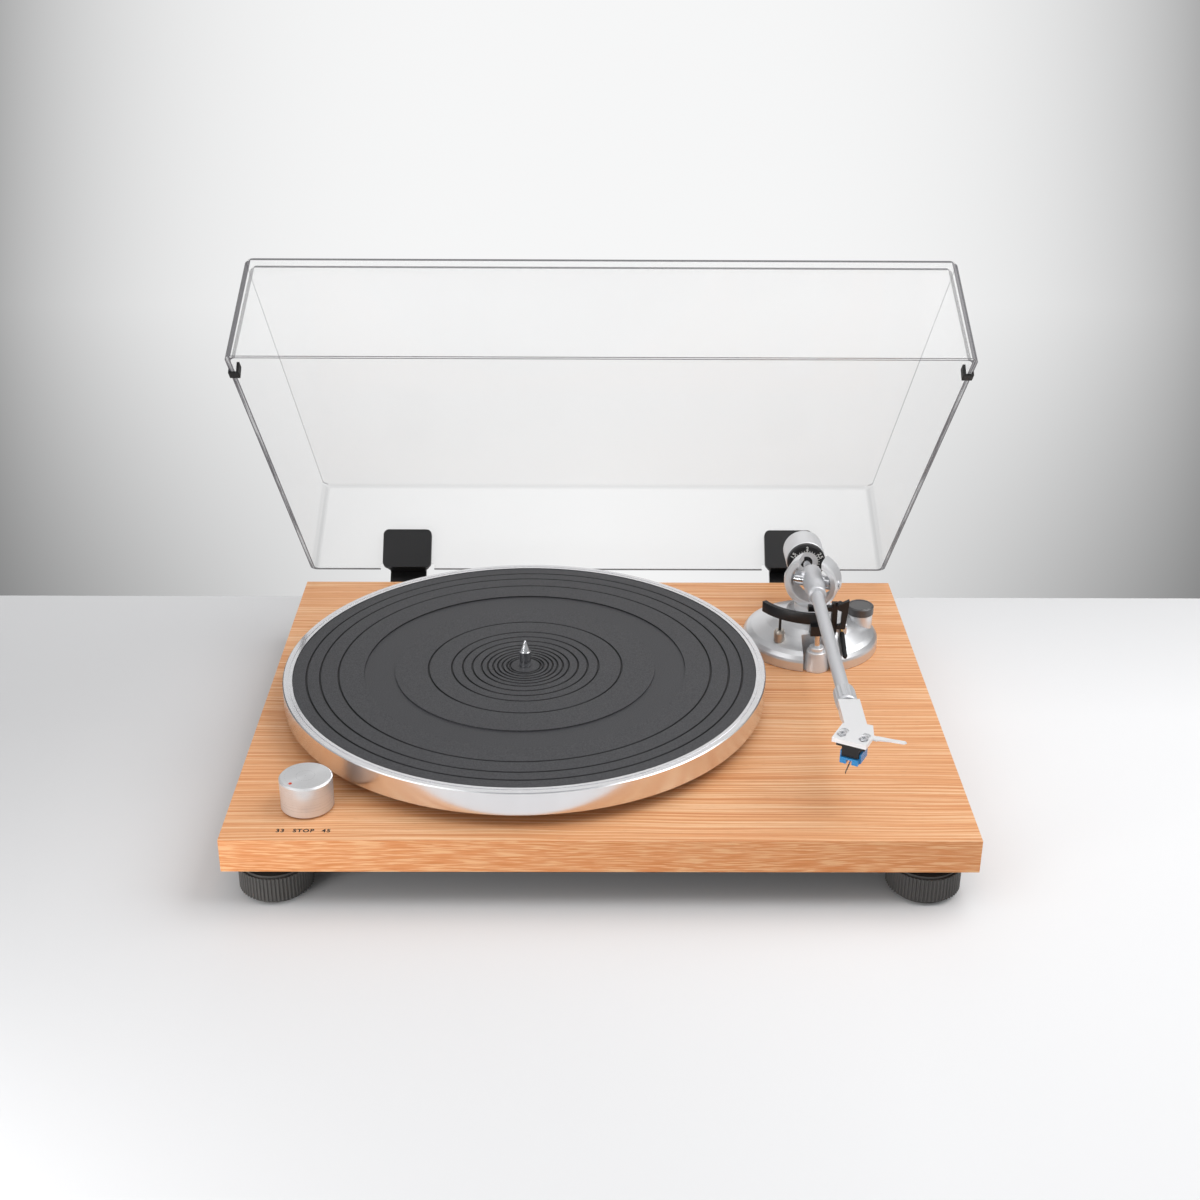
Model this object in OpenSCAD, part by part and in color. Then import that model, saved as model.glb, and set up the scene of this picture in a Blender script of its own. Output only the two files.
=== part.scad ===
// Belt-drive record player with a hinged clear dust cover.
// Frame: millimetres, +Z up, Z = 0 on the table, X = 0 on the middle of the plinth,
// front edge towards -Y. Y = 0 is half way between the plinth front and the back
// of the opened dust cover.

/* [Plinth] */
// Width of the plinth
plinth_w = 420; // [410:1:440]
// Depth of the plinth
plinth_d = 332; // [328:1:345]
// Thickness of the plinth board
plinth_t = 20.5; // [20:0.5:24]
// Gap between the table and the plinth's underside
foot_gap = 24; // [22:0.5:28]
// Thickness of the black base cover
cover_t = 1.6; // [1:0.1:2]

/* [Platter] */
// Spindle axis, to the right of the plinth's middle
platter_x = -46.6; // [-52:0.2:-44]
// Spindle axis, behind the plinth's front edge
platter_y = 163.1; // [160:0.1:168]
// Radius of the platter rim
platter_r = 150.5; // [149:0.5:152]
// Radius of the rubber mat
mat_r = 144.3; // [143:0.1:145]
// Height of the platter's upper edge above the plinth
rim_top = 22.5; // [22:0.1:24]
// Gap between the plinth and the platter rim
rim_gap = 7.5; // [6:0.5:9]
// Diameter of the record pin
pin_d = 7.1; // [7:0.05:7.2]
// Height of the record pin above the mat
pin_h = 17.3; // [14:0.1:18]
// Radius of the belt ring under the platter
belt_ring_r = 84; // [80:1:90]

/* [Speed knob] */
// Knob axis from the plinth's middle
knob_x = -165.6; // [-170:1:-160]
// Knob axis from the plinth's front edge
knob_y = 35; // [34:1:40]
// Radius of the knob
knob_r = 15; // [13:0.5:15.5]
// Height of the knob's top above the plinth
knob_top = 20; // [16:0.5:22]

/* [Tonearm] */
// Pivot axis from the plinth's middle
pivot_x = 142.6; // [142:0.1:144]
// Pivot axis from the plinth's front edge
pivot_y = 245.6; // [245:0.1:247]
// Height of the arm's axis above the plinth
arm_z = 43; // [43:0.1:43.5]
// Offset angle of the headshell
offset_angle = 27.5; // [24:0.5:29]
// Diameter of the arm tube
tube_d = 8.2; // [7.8:0.1:8.6]
// Distance from the pivot to the cartridge screws
screw_reach = 213.2; // [212:0.1:216]
// Twist of the gimbal ring away from the arm
ring_skew = 22; // [18:1:26]

/* [Dust cover] */
// Width at the rim
lid_w = 418; // [414:1:420]
// Depth at the rim
lid_d = 325; // [322:1:326]
// Height of the cover
lid_h = 66.4; // [65:0.2:70]
// Wall thickness
lid_wall = 3; // [2.5:0.1:3.2]
// How far each wall leans in towards the top
lid_draft = 5.8; // [4:0.2:6.4]
// Angle at which the cover stands open
lid_open = 46.1; // [40:0.1:50]
// Distance of the hinges from the plinth's middle
hinge_x = 139; // [130:1:145]

/* [Hidden] */

$fn = 64;
fit = 0.05;                     // radial running clearance
over = 1;                       // how far a cut runs past a face
top_z = foot_gap + plinth_t;    // height of the plinth's top
hinge_back = 8;                 // hinge axis behind the plinth
hinge_drop = 19;                // hinge axis below the plinth's top
lid_lift = 1.5;                 // closed rim above the plinth
lid_rear = plinth_d - 2;        // closed rear rim, from the plinth's front
// Depth of the whole object with the cover open, which centres the frame
hinge_y = plinth_d + hinge_back;
lid_back = hinge_y + (lid_rear - lid_draft - hinge_y) * cos(lid_open)
    + (lid_lift + lid_h + hinge_drop) * sin(lid_open);
front_y = -lid_back / 2;

// Puts its children at a point given from the plinth's front edge and top face.
module on_deck(x, y, z = 0) { translate([x, front_y + y, top_z + z]) children(); }
// Arm frame: origin on the pivot at arm height, +X towards the headshell.
module on_arm() { on_deck(pivot_x, pivot_y, arm_z) rotate([0, 0, -90]) children(); }
// Headshell frame: origin midway between the cartridge screws, +X along the cantilever.
module on_shell() {
    on_arm() translate([screw_reach, -screw_side, 0]) rotate([0, 0, -offset_angle]) children();
}
// Closed-cover frame: the hinge axis is the X axis, turned to the open position.
module on_lid() { on_deck(0, hinge_y, -hinge_drop) rotate([-lid_open, 0, 0]) children(); }
// Upright tube with a bore.
module pipe(r, bore, h) {
    difference() {
        cylinder(r = r, h = h);
        translate([0, 0, -over]) cylinder(r = bore, h = h + 2 * over);
    }
}
// Rounded plate, drawn with square and circles so that its corners are true arcs.
module round_rect(w, d, r) {
    union() {
        square([w - 2 * r, d], center = true);
        square([w, d - 2 * r], center = true);
        for (x = [-1, 1], y = [-1, 1])
            translate([x * (w / 2 - r), y * (d / 2 - r)]) circle(r = r, $fn = 32);
    }
}
// Cylinder lying along +X, starting at x.
module rod_x(x, r, length) { translate([x, 0, 0]) rotate([0, 90, 0]) cylinder(r = r, h = length); }
// Solid of revolution about X from points (x, radius).
module lathe_x(points) { rotate([0, 90, 0]) rotate([0, 0, 90]) rotate_extrude()
    polygon([for (p = points) [p[1], p[0]]]); }
// Pan-head screw pointing down with its head's underside at the origin.
module screw(r, length, head_r, head_h) {
    difference() {
        union() {
            cylinder(r = head_r, h = head_h);
            translate([0, 0, -length]) cylinder(r = r, h = length);
        }
        for (a = [0, 90]) rotate([0, 0, a])
            translate([-head_r * 0.6, -0.4, head_h * 0.45]) cube([head_r * 1.2, 0.8, head_h]);
    }
}

// ---- layout shared by several pieces -------------------------------------------------
foot_places = [[-184, 22], [184, 22], [-184, 310], [184, 310]];
foot_r = 21;
stud_r = 3;
stud_h = 15;
cover_hole_r = 12;
cover_inset = 4;
case_screw_places = [[-190, 60], [190, 60], [-190, 166], [190, 166], [-100, 12], [100, 12]];

bearing_r = 11;                 // housing barrel
bearing_flange_r = 20;
bearing_flange_t = 2.4;
shaft_r = 4;                    // spindle shaft in the bush
bearing_depth = 17;
motor_r = 16;
motor_h = 15;
belt_t = 0.8;
belt_h = 5;
belt_z = 6.5;                   // underside of the belt above the plinth
belt_gap = 0.3;
pulley_r = 6;
motor_angle = 128;              // motor seen from the spindle
motor_reach = 104;
motor_x = platter_x + motor_reach * cos(motor_angle);
motor_y = platter_y + motor_reach * sin(motor_angle);
plate_top = rim_top - 3.4;      // floor under the mat
plate_t = 4;
bearing_screw_r = 15.5;
deck_screw_shaft_r = 1.5;

panel_x = -25;                  // connector panel, from the plinth's middle
panel_w = 132;
panel_h = 17;
panel_t = 2;
pocket_d = 34;                  // electronics pocket behind the panel
jack_x = [-52, -34];            // audio jacks, from the panel's middle
jack_body_r = 3.4;              // jack inside the panel, thinner than its outer sleeve
ground_x = -14;
switch_x = 12;
inlet_x = 46;

base_x = 142;                   // centre of the tonearm base
base_y = 240;
base_r = 45;
plateau_z = 22;
pillar_r = 16;
yaw_r = 5;
skate_x = 175;
skate_y = 241;
skate_r = 8.8;
skate_z = 21;
lift_x = 141.8;
lift_y = 202.5;
arc_r = 39;                     // lift arc's middle radius about the pivot
arc_w = 3;
arc_h = 7.2;
arc_from = 210;
arc_to = 275;
guide_angle = 232;
guide_x = pivot_x + arc_r * cos(guide_angle);
guide_y = pivot_y + arc_r * sin(guide_angle);
guide_seat = 13.2;
arc_gap = 1.9;                  // lowered lift arc under the parked tube
arc_top = arm_z - tube_d / 2 - arc_gap;
rest_x = 153.8;
rest_y = 216;
clip_dx = 3.2;                  // clip's pin, to the right of the rest's post
clip_z = 39.5;
lever_x = 159.5;
lever_y = 220;
lever_z = 21;
lever_slope = 21;
lever_r = 0.9;

screw_side = 2.95;              // cartridge screws off the arm's axis, towards the record
screw_pitch = 12.7;
collar_from = 153;
collar_to = 170.5;
collar_r = 6.6;
tube_wall = 0.8;
shell_top = 5;                  // headshell's top above the arm's axis
shell_t = 2.8;
slot_step = 1;                  // depth of the wider part of the screw slots
cart_top = shell_top - shell_t;
ring_r = 18.2;
ring_bore = 13.5;
ring_w = 14;
ring_gap = 15.5;                // width of the gap in the ring's top
ring_gap_mid = 0.8;             // middle of the gap, towards the record
screw_seat = 17.4;              // tilt screw heads, sunk in the ring
hub_r = 7;
tilt_shaft_r = 4.8;
piston_r = 2.25;                // cue lift's piston
weight_drop = 3.5;              // counterweight axis below the arm's axis
weight_from = -39;
weight_len = 21;
weight_r = 13.5;
dial_t = 4;
hinge_w = 35;
knuckle_r = 5.5;
hinge_pin_r = 2.5;

// ---- plinth and base ----------------------------------------------------------------
module plinth() {
    color("burlywood") difference() {
        translate([-plinth_w / 2, front_y, foot_gap]) cube([plinth_w, plinth_d, plinth_t]);
        // bearing, motor, speed selector and tonearm holes
        on_deck(platter_x, platter_y, -plinth_t - over) cylinder(r = bearing_r, h = plinth_t + 2 * over);
        on_deck(motor_x, motor_y, -plinth_t - over) cylinder(r = motor_r + 0.5, h = motor_h + 1.5 + over);
        on_deck(motor_x, motor_y, -plinth_t) cylinder(r = 8, h = plinth_t + over);
        on_deck(knob_x, knob_y, -plinth_t - over) cylinder(r = 9, h = plinth_t - 4 + over);
        on_deck(knob_x, knob_y, -plinth_t) cylinder(r = 4.5, h = plinth_t + over);
        on_deck(pivot_x, pivot_y, -plinth_t - over) cylinder(r = 9, h = plinth_t + 2 * over);
        // electronics pocket, open at the back and below
        on_deck(panel_x - panel_w / 2, plinth_d - pocket_d, -plinth_t - over)
            cube([panel_w, pocket_d + over, panel_h - panel_t + over]);
        for (p = foot_places) on_deck(p[0], p[1], -plinth_t - over)
            cylinder(r = stud_r + fit, h = stud_h + over);
        for (p = case_screw_places) on_deck(p[0], p[1], -plinth_t - over)
            cylinder(r = 1.25, h = 9 + over);
    }
}

module bottom_cover() {
    color("#1b1b1b") difference() {
        translate([0, front_y + plinth_d / 2, foot_gap - cover_t]) linear_extrude(cover_t)
            round_rect(plinth_w - 2 * cover_inset, plinth_d - 2 * cover_inset, 6);
        for (p = foot_places) on_deck(p[0], p[1], -plinth_t - cover_t - over)
            cylinder(r = cover_hole_r, h = cover_t + 2 * over);
        for (p = case_screw_places) on_deck(p[0], p[1], -plinth_t - cover_t - over)
            cylinder(r = 1.25, h = cover_t + 2 * over);
        on_deck(panel_x - panel_w / 2, plinth_d - panel_t - 3, -plinth_t - cover_t - over)
            cube([panel_w, 6, cover_t + 2 * over]);
    }
}

module case_screws() {
    color("#2a2a2a") for (p = case_screw_places)
        on_deck(p[0], p[1], -plinth_t - cover_t) rotate([180, 0, 0]) screw(1.25, 9, 3, 1.6);
}

// ---- connectors ---------------------------------------------------------------------
// Panel frame: X along the panel, +Y out of the back, origin on the outer face's middle.
module on_panel(x) {
    on_deck(panel_x + x, plinth_d, -plinth_t + panel_h / 2 - 1) children();
}
module rear_panel() {
    color("#202020") difference() {
        on_panel(0) translate([-panel_w / 2 + 0.2, -panel_t, -panel_h / 2 + 1])
            cube([panel_w - 0.4, panel_t, panel_h - panel_t - 0.2]);
        for (x = jack_x) on_panel(x) rotate([90, 0, 0]) translate([0, 0, -over])
            cylinder(r = jack_body_r, h = 5);
        on_panel(ground_x) rotate([90, 0, 0]) translate([0, 0, -over]) cylinder(r = 2, h = 5);
        on_panel(switch_x) translate([-6, -5, -2]) cube([12, 6, 4]);
        on_panel(inlet_x) rotate([90, 0, 0]) translate([0, 0, -over]) cylinder(r = 4.5, h = 5);
    }
}
module rca_jacks() {
    color("gold") for (x = jack_x) on_panel(x) rotate([-90, 0, 0]) {
        difference() {
            translate([0, 0, -8]) cylinder(r = jack_body_r, h = 8);
            translate([0, 0, -8 - over]) cylinder(r = 1.6, h = 8 + 2 * over);
        }
        pipe(4.15, 3.2, 8);
    }
}
module rca_inserts() {
    // insulating core with its contact hole, one white and one red in use
    color("ivory") for (x = jack_x) on_panel(x) rotate([-90, 0, 0]) pipe(3.2, 1.6, 7);
}
module ground_terminal() {
    color("silver") on_panel(ground_x) rotate([-90, 0, 0]) {
        translate([0, 0, -6]) cylinder(r = 1.95, h = 15);
        translate([0, 0, 3]) difference() {
            cylinder(r = 4.6, h = 5, $fn = 12);
            translate([0, 0, -over]) cylinder(r = 1.95, h = 5 + 2 * over);
        }
    }
}
module power_inlet() {
    color("#151515") on_panel(inlet_x) rotate([-90, 0, 0]) {
        difference() {
            translate([0, 0, -11]) cylinder(r = 4.45, h = 11.6);
            translate([0, 0, -9]) cylinder(r = 2.75, h = 9.6 + over);
        }
        translate([0, 0, -9]) cylinder(r = 1.05, h = 8.6);
    }
}
module output_switch() {
    color("#101010") on_panel(switch_x - 2) {
        translate([-2, -panel_t - 2, -1.6]) cube([4, panel_t + 3, 3.2]);
        translate([-3.4, -panel_t - 3.4, -3]) cube([6.8, 1.4, 6]);
    }
}
module circuit_board() {
    color("darkgreen") on_deck(panel_x - panel_w / 2 + 3, plinth_d - pocket_d + 1, -plinth_t)
        difference() {
            cube([panel_w - 6, 18, 1.6]);
            for (x = [6, panel_w - 12]) translate([x, 5, -over]) cylinder(r = 1.6, h = 4);
        }
    color("#222222") for (x = [20, 52, 88]) on_deck(panel_x - panel_w / 2 + x, plinth_d - pocket_d + 6,
        -plinth_t + 1.6) cube([12, 9, 3]);
    color("#444466") for (x = [40, 74]) on_deck(panel_x - panel_w / 2 + x, plinth_d - pocket_d + 9,
        -plinth_t + 1.6) cylinder(r = 4, h = 8);
}

// ---- motor and drive ----------------------------------------------------------------
module motor() {
    color("#8f9296") on_deck(motor_x, motor_y) {
        difference() {
            union() {
                translate([0, 0, -plinth_t + 1]) cylinder(r = motor_r, h = motor_h);
                translate([0, 0, -plinth_t + 1 + motor_h]) cylinder(r = 5, h = 3);
                // flange that carries the motor on the plinth's top
                linear_extrude(1.2) round_rect(44, 18, 5);
            }
            translate([0, 0, -plinth_t + 3]) cylinder(r = 1 + fit, h = plinth_t + 2);
            for (x = [-17, 17]) translate([x, 0, -over]) cylinder(r = deck_screw_shaft_r, h = 4);
        }
        translate([0, 0, -1.5]) pipe(5, 1 + fit, 1.5);
    }
}
module motor_shaft() {
    color("silver") on_deck(motor_x, motor_y, -plinth_t + 3.2) cylinder(r = 1, h = plinth_t - 3.2 + 13);
}
module motor_pulley() {
    color("goldenrod") on_deck(motor_x, motor_y, 2.4) difference() {
        rotate_extrude() polygon([[0, 0], [pulley_r + 1.5, 0], [pulley_r + 1.5, 1.6], [pulley_r, 2.6],
            [pulley_r, belt_h + 5], [pulley_r + 1.2, belt_h + 5.6], [pulley_r - 1, belt_h + 6.6],
            [0, belt_h + 6.6]]);
        translate([0, 0, -over]) cylinder(r = 1, h = 20);
    }
}
// Loop round the belt ring and the pulley, both widened by g.
module belt_shape(g) {
    hull() {
        circle(r = belt_ring_r + g, $fn = 180);
        translate([motor_reach, 0]) circle(r = pulley_r + g);
    }
}
module drive_belt() {
    color("#181818") on_deck(platter_x, platter_y, belt_z) rotate([0, 0, motor_angle])
        linear_extrude(belt_h) difference() {
            belt_shape(belt_gap + belt_t);
            belt_shape(belt_gap);
        }
}
module bearing_housing() {
    color("#9a9da0") on_deck(platter_x, platter_y) difference() {
        union() {
            cylinder(r = bearing_flange_r, h = bearing_flange_t);
            translate([0, 0, -bearing_depth - 2.5]) cylinder(r = bearing_r, h = bearing_depth + 2.5);
        }
        translate([0, 0, -bearing_depth]) cylinder(r = 7, h = bearing_depth + 10);
        for (a = [0, 120, 240]) rotate([0, 0, a]) translate([bearing_screw_r, 0, -over])
            cylinder(r = deck_screw_shaft_r, h = 5);
    }
}
module bearing_bush() {
    color("peru") on_deck(platter_x, platter_y, -bearing_depth)
        pipe(7, shaft_r + fit, bearing_depth + bearing_flange_t + 1);
}
module deck_screws() {
    color("silver") {
        for (a = [0, 120, 240]) on_deck(platter_x, platter_y, bearing_flange_t) rotate([0, 0, a])
            translate([bearing_screw_r, 0, 0]) screw(deck_screw_shaft_r, bearing_flange_t, 2.8, 1.4);
        for (x = [-17, 17]) on_deck(motor_x + x, motor_y, 1.2) screw(deck_screw_shaft_r, 1.2, 2.6, 1.2);
    }
}

// ---- platter ------------------------------------------------------------------------
module platter() {
    inner = 9.5;                // hub bore for the spindle's seat
    ring_t = 4;
    color("#d9dadb") on_deck(platter_x, platter_y) rotate_extrude($fn = 200) difference() {
        polygon([[inner, plate_top - plate_t - 5], [22, plate_top - plate_t - 5],
            [24, plate_top - plate_t], [belt_ring_r - ring_t, plate_top - plate_t],
            [belt_ring_r - ring_t, 4.2], [belt_ring_r, 4.2], [belt_ring_r, plate_top - plate_t],
            [platter_r - 9, plate_top - plate_t], [platter_r - 7, rim_gap + 2],
            [platter_r - 5, rim_gap], [platter_r - 0.8, rim_gap], [platter_r, rim_gap + 0.8],
            [platter_r, rim_top - 0.6], [platter_r - 0.6, rim_top], [mat_r + 0.3, rim_top],
            [mat_r + 0.3, plate_top], [inner, plate_top]]);
        // fine turned line in the upper face of the rim
        translate([mat_r + 2.2, rim_top - 0.4]) square([0.6, 1]);
    }
}
module spindle() {
    top = rim_top - 0.4;        // mat surface
    seat_z = plate_top - plate_t - 5 - 2;
    color("#e3e4e6") on_deck(platter_x, platter_y) rotate_extrude() polygon([
        [0, -bearing_depth + 0.3], [shaft_r - 1, -bearing_depth + 0.3], [shaft_r, -bearing_depth + 1.3],
        [shaft_r, seat_z], [16, seat_z], [16, seat_z + 2], [9.5, seat_z + 2], [9.5, plate_top],
        [pin_d / 2 - 0.6, plate_top], [pin_d / 2 - 0.6, top], [pin_d / 2, top],
        [pin_d / 2, top + pin_h - 7.3], [pin_d / 2 - 0.4, top + pin_h - 6.8],
        [0.7, top + pin_h - 0.4], [0.3, top + pin_h], [0, top + pin_h]]);
}
// Groove radii of the mat, from the outside in, then the shallow band for small records.
mat_grooves = [136, 127.6, 116.3, 60.5, 46, 39.2, 33.2, 27.4, 23.6, 20.2, 17.3, 14.4, 11.5, 9.6];
module platter_mat() {
    top = rim_top - 0.4;
    color("#3a3b3d") on_deck(platter_x, platter_y) rotate_extrude($fn = 200) difference() {
        translate([pin_d / 2 + 0.2, plate_top]) square([mat_r - pin_d / 2 - 0.2, top - plate_top]);
        for (r = mat_grooves) polygon([[r - 0.7, top + 0.1], [r - 0.25, top - 0.9], [r + 0.25, top - 0.9],
            [r + 0.7, top + 0.1]]);
        translate([81.3, top - 0.8]) square([100.4 - 81.3, 2]);
    }
}

// ---- speed knob ---------------------------------------------------------------------
module speed_selector() {
    color("#333333") on_deck(knob_x, knob_y) difference() {
        union() {
            translate([0, 0, -plinth_t + 3]) cylinder(r = 8.5, h = plinth_t - 7);
            translate([0, 0, -4]) cylinder(r = 4.4, h = 4);
        }
        translate([0, 0, -plinth_t + 6]) cylinder(r = 3 + fit, h = 20);
    }
}
module speed_knob() {
    color("#cfd0d2") on_deck(knob_x, knob_y) {
        rotate_extrude($fn = 120) polygon([[0, 1], [knob_r - 0.3, 1], [knob_r, 1.4],
            [knob_r, knob_top - 1], [knob_r - 1, knob_top], [0, knob_top]]);
        translate([0, 0, -plinth_t + 6.4]) cylinder(r = 3, h = plinth_t - 6.4 + 1);
    }
}
module knob_mark() {
    color("orangered") on_deck(knob_x, knob_y, knob_top) rotate([0, 0, 230]) translate([11.2, 0, 0])
        cylinder(r = 0.9, h = 0.25);
}

// ---- tonearm base, cue lift and rests --------------------------------------------------
module tonearm_base() {
    color("#c9cacc") difference() {
        union() {
            on_deck(base_x, base_y) rotate_extrude($fn = 120) polygon([[0, 0], [base_r - 0.4, 0],
                [base_r, 0.4], [base_r, 6], [base_r - 0.6, 7.6], [base_r - 2.4, 10],
                [base_r - 5.5, 12], [base_r - 9.5, 13.8], [base_r - 15, 16.4], [base_r - 21, 20],
                [base_r - 25, 21.6], [base_r - 28, plateau_z], [0, plateau_z]]);
            on_deck(pivot_x, pivot_y) cylinder(r = pillar_r, h = plateau_z);
            on_deck(skate_x, skate_y) cylinder(r = skate_r - 0.4, h = skate_z);
            on_deck(lever_x, lever_y + 1.5, 12) translate([-3.4, -3.2, 0]) cube([6.8, 7, 7]);
        }
        // alcove for the lift cylinder
        on_deck(132.8, base_y - base_r - over, -over) cube([18.2, 20, plateau_z + 2 * over]);
        // bore for the yaw bearing and a turned line round it
        on_deck(pivot_x, pivot_y, -over) cylinder(r = 9, h = plateau_z + 2 * over);
        on_deck(pivot_x, pivot_y, plateau_z - 0.6) pipe(14.4, 13.6, 2);
        // dial shaft, guide bush and rest sockets
        on_deck(skate_x, skate_y, skate_z - 8) cylinder(r = 2 + fit, h = 10);
        on_deck(guide_x, guide_y, 5) cylinder(r = 2.5, h = 20);
        on_deck(guide_x, guide_y, guide_seat) cylinder(r = 3.7, h = 10);
        on_deck(rest_x, rest_y, 10) cylinder(r = 2, h = 20);
        // slot in which the cue lever swings
        on_deck(lever_x - 1.2, lever_y - 6, 13.5) cube([2.4, 12.5, 12]);
    }
    // ears that carry the cue lever's pin
    color("#c9cacc") on_deck(lever_x, lever_y, lever_z) for (x = [-3.4, 1.2])
        rotate([90, 0, 90]) translate([0, 0, x]) difference() {
            union() {
                cylinder(r = 2.6, h = 2.2);
                translate([-2.6, -4, 0]) cube([5.2, 4, 2.2]);
            }
            translate([0, 0, -over]) cylinder(r = 1 + fit, h = 2.2 + 2 * over);
        }
}
module yaw_bearing() {
    color("peru") on_deck(pivot_x, pivot_y, -8) pipe(9, yaw_r + fit, plateau_z + 8);
}
module lift_cylinder() {
    color("#c3c4c6") on_deck(lift_x, lift_y) rotate_extrude() polygon([[piston_r + fit, 0.2],
        [8.7, 0.2], [8.7, 1.2], [6.4, 12.4], [6, 12.8], [4.8, 12.8], [4.8, 15.2], [4.4, 15.6],
        [piston_r + fit, 15.6]]);
}
module lift_guide() {
    color("#b7a58c") on_deck(guide_x, guide_y) rotate_extrude() polygon([[0.9 + fit, 6], [2.5, 6],
        [2.5, guide_seat], [3.7, guide_seat], [3.7, 19.4], [2.9, 21.4], [0.9 + fit, 21.4]]);
}
module lift_arc() {
    z = arc_top - arc_h;
    color("#161616") {
        on_deck(pivot_x, pivot_y, z) rotate([0, 0, arc_from])
            rotate_extrude(angle = arc_to - arc_from, $fn = 160)
                translate([arc_r - arc_w / 2, 0]) square([arc_w, arc_h]);
        on_deck(lift_x, 0, 0) translate([-5, lift_y - 3, z - 5.6]) cube([9, 6.6, 6.6]);
        on_deck(guide_x, guide_y, 8.5) cylinder(r = 0.9, h = z - 8);
    }
}
module lift_piston() {
    color("#c9cacc") on_deck(lift_x, lift_y, 3)
        cylinder(r = piston_r, h = arc_top - arc_h - 5.6 - 3);
}
// Lever frame: origin on the pin, +X forward along the lever.
module on_lever() {
    on_deck(lever_x, lever_y, lever_z) rotate([lever_slope, 0, 0]) rotate([0, 0, -90]) children();
}
module cue_lever() {
    color("#b08d57") on_lever() {
        rotate([90, 0, 0]) translate([0, 0, -1]) cylinder(r = 2, h = 2);
        rod_x(0, lever_r, 25);
        rotate([90, 0, 0]) translate([0, 0, -3.6]) cylinder(r = 1, h = 7.2);
    }
}
module lever_sleeve() {
    color("#141414") on_lever() lathe_x([[5.5, lever_r], [5.5, 1.35], [7, 1.6], [26, 1.6],
        [27.3, 1], [27.3, 0], [25, 0], [25, lever_r]]);
}
module arm_rest() {
    tube_low = arm_z - tube_d / 2;
    post_low = 20;
    color("#181818") {
        on_deck(rest_x, rest_y, 11) cylinder(r = 2, h = post_low - 10);
        on_deck(rest_x - 1.8, rest_y - 2.4, post_low) cube([3.6, 4.8, clip_z + 1 - post_low]);
        // tongue under the parked tube, with a low lip on its far side
        on_deck(pivot_x - 4, rest_y - 2, tube_low - 4) cube([rest_x - pivot_x + 3, 4, 3]);
        on_deck(pivot_x - 6.2, rest_y - 2, tube_low - 4) cube([2.4, 4, 3.5]);
        // lug that carries the clip
        on_deck(rest_x, rest_y, clip_z) rotate([90, 0, 0]) difference() {
            union() {
                translate([clip_dx, 0, 0]) cylinder(r = 2.4, h = 2.4);
                translate([0, -2, 0]) cube([clip_dx, 4, 2.4]);
            }
            translate([clip_dx, 0, -over]) cylinder(r = 0.9 + fit, h = 6);
        }
    }
}
module rest_clip() {
    color("#121212") on_deck(rest_x + clip_dx, rest_y, clip_z) rotate([90, 0, 0]) {
        cylinder(r = 0.9, h = 3);
        // outline in the X-Z plane: thumb tab above the pin, hook hanging below it
        translate([0, 0, 2.7]) linear_extrude(3) union() {
            circle(r = 2.4, $fn = 32);
            polygon([[-2.2, 1], [0.6, 2.6], [5.4, 5], [4.8, -4], [3.6, -15.6], [-1.8, -15.6],
                [-2, -13], [0.8, -12.6], [1.1, -3], [-1.6, -1.6]]);
        }
    }
}
module antiskate_knob() {
    color("#1e1e1e") on_deck(skate_x, skate_y, skate_z + 0.3) {
        rotate_extrude($fn = 96) polygon([[0, 0], [skate_r - 0.2, 0], [skate_r, 0.3], [skate_r, 5],
            [skate_r - 0.7, 5.7], [skate_r - 1.6, 5.7], [skate_r - 1.8, 5.4], [0, 5.4]]);
        translate([0, 0, -8]) cylinder(r = 2, h = 8.4);
    }
}

// ---- tonearm ------------------------------------------------------------------------
module on_ring() { on_arm() rotate([0, 0, -ring_skew]) children(); }
module gimbal_ring() {
    color("#cfd0d2") difference() {
        union() {
            on_ring() lathe_x([[-ring_w / 2, ring_bore + 0.6], [-ring_w / 2, ring_r - 1.2],
                [-ring_w / 2 + 1.2, ring_r], [ring_w / 2 - 1.2, ring_r], [ring_w / 2, ring_r - 1.2],
                [ring_w / 2, ring_bore + 0.6], [ring_w / 2 - 0.6, ring_bore],
                [-ring_w / 2 + 0.6, ring_bore]]);
            on_deck(pivot_x, pivot_y, plateau_z + 0.4) difference() {
                cylinder(r = 11.5, h = 5);
                on_ring_low() cylinder(r = ring_bore + 1, h = 60, center = true);
            }
        }
        on_ring() for (s = [-1, 1]) rotate([0, 0, 90 * s]) {
            rod_x(ring_bore - 3, 2, 10);
            rod_x(screw_seat, 3, 10);
        }
        // gap through which the arm is laid in
        on_ring() translate([-ring_w, -ring_gap_mid - ring_gap / 2, 4]) cube([2 * ring_w, ring_gap, ring_r]);
    }
    color("#cfd0d2") on_deck(pivot_x, pivot_y, -6) cylinder(r = yaw_r, h = plateau_z + 6.4);
}
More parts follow.
